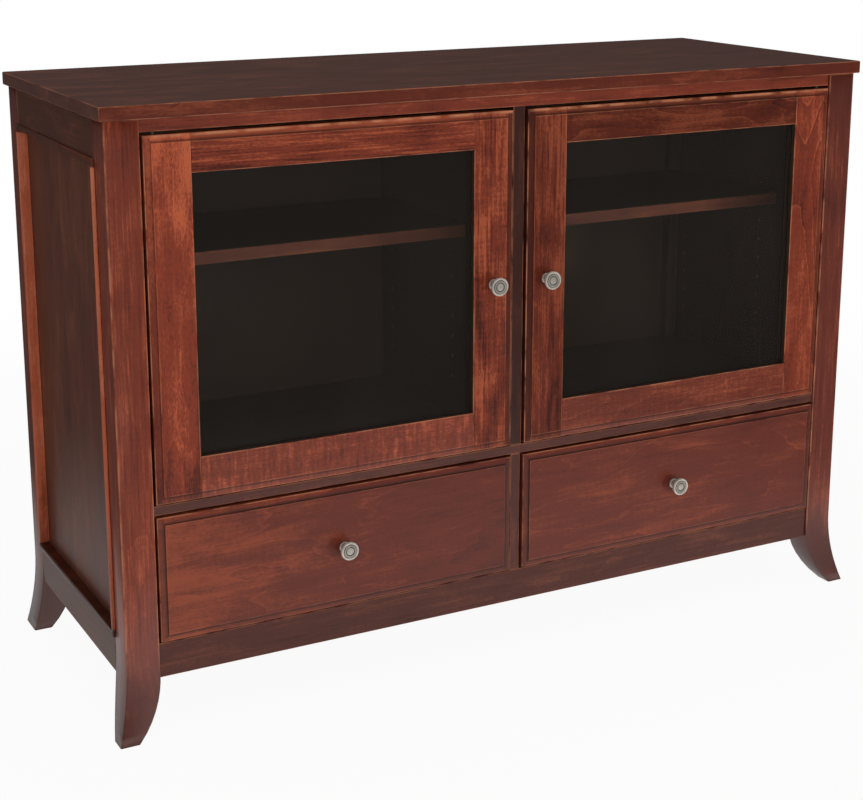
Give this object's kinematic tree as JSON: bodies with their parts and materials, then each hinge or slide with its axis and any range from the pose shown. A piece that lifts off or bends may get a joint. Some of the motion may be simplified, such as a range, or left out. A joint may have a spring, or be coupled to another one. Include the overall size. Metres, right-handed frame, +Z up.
{
  "type": "tv stand",
  "caption": "Stained wood media cabinet with framed glass doors over lipped drawers, adjustable shelves, panelled sides and square corner posts that sweep out into sabre feet.",
  "frame": {"origin": "on the floor, under the middle of the whole cabinet's box", "axes": "+X to the right seen from the front, +Y from the front to the back, +Z up; the doors and drawers face -Y"},
  "size_m": [1.244, 0.4864, 0.86],
  "materials": {
    "stained_front": "red-brown stain under satin lacquer",
    "stained_side": "dark red-brown stain under satin lacquer",
    "stained_top": "dark red-brown stain under satin lacquer",
    "stained_inside": "dark stain, low sheen",
    "drawer_maple": "clear lacquer",
    "clear_glass": "clear, polished",
    "pewter": "antiqued pewter, satin",
    "hinge_steel": "plain steel"
  },
  "bodies": {
    "cabinet": {"top_board": "stained_top", "post_front_left": "stained_front", "post_front_right": "stained_front", "post_back_left": "stained_front", "post_back_right": "stained_front", "side_top_rail_left": "stained_side", "side_top_rail_right": "stained_side", "side_bottom_rail_left": "stained_side", "side_bottom_rail_right": "stained_side", "side_panel_left": "stained_side", "side_panel_right": "stained_side", "side_bead_left": "stained_front", "side_bead_right": "stained_front", "front_top_rail": "stained_front", "middle_deck": "stained_front", "bottom_apron": "stained_front", "bottom_panel": "stained_inside", "centre_partition": "stained_front", "drawer_divider": "stained_front", "back_panel": "stained_inside", "drawer_guide_left": "stained_inside", "drawer_guide_right": "stained_inside", "shelf_left": "stained_front", "shelf_right": "stained_front", "shelf_pin_left_1": "hinge_steel", "shelf_pin_left_2": "hinge_steel", "shelf_pin_left_3": "hinge_steel", "shelf_pin_left_4": "hinge_steel", "shelf_pin_right_1": "hinge_steel", "shelf_pin_right_2": "hinge_steel", "shelf_pin_right_3": "hinge_steel", "shelf_pin_right_4": "hinge_steel"},
    "left_door": {"door_left_hinge_stile": "stained_front", "door_left_latch_stile": "stained_front", "door_left_top_rail": "stained_front", "door_left_bottom_rail": "stained_front", "door_left_glass": "clear_glass", "door_left_knob": "pewter", "door_left_upper_hinge": "hinge_steel", "door_left_lower_hinge": "hinge_steel"},
    "right_door": {"door_right_hinge_stile": "stained_front", "door_right_latch_stile": "stained_front", "door_right_top_rail": "stained_front", "door_right_bottom_rail": "stained_front", "door_right_glass": "clear_glass", "door_right_knob": "pewter", "door_right_upper_hinge": "hinge_steel", "door_right_lower_hinge": "hinge_steel"},
    "left_drawer": {"drawer_left_front": "stained_front", "drawer_left_inner_side": "drawer_maple", "drawer_left_outer_side": "drawer_maple", "drawer_left_back": "drawer_maple", "drawer_left_bottom": "drawer_maple", "drawer_left_knob": "pewter"},
    "right_drawer": {"drawer_right_front": "stained_front", "drawer_right_inner_side": "drawer_maple", "drawer_right_outer_side": "drawer_maple", "drawer_right_back": "drawer_maple", "drawer_right_bottom": "drawer_maple", "drawer_right_knob": "pewter"}
  },
  "joints": [
    {"name": "left_door_hinge", "type": "hinge", "parent": "cabinet", "child": "left_door", "pos_m": [-0.537, -0.20975, 0.5738], "axis": [0, 0, -1], "range_deg": [0, 110]},
    {"name": "right_door_hinge", "type": "hinge", "parent": "cabinet", "child": "right_door", "pos_m": [0.537, -0.20975, 0.5738], "axis": [0, 0, 1], "range_deg": [0, 110]},
    {"name": "left_drawer_slide", "type": "slide", "parent": "cabinet", "child": "left_drawer", "axis": [0, -1, 0], "range_m": [0, 0.3]},
    {"name": "right_drawer_slide", "type": "slide", "parent": "cabinet", "child": "right_drawer", "axis": [0, -1, 0], "range_m": [0, 0.3]}
  ]
}
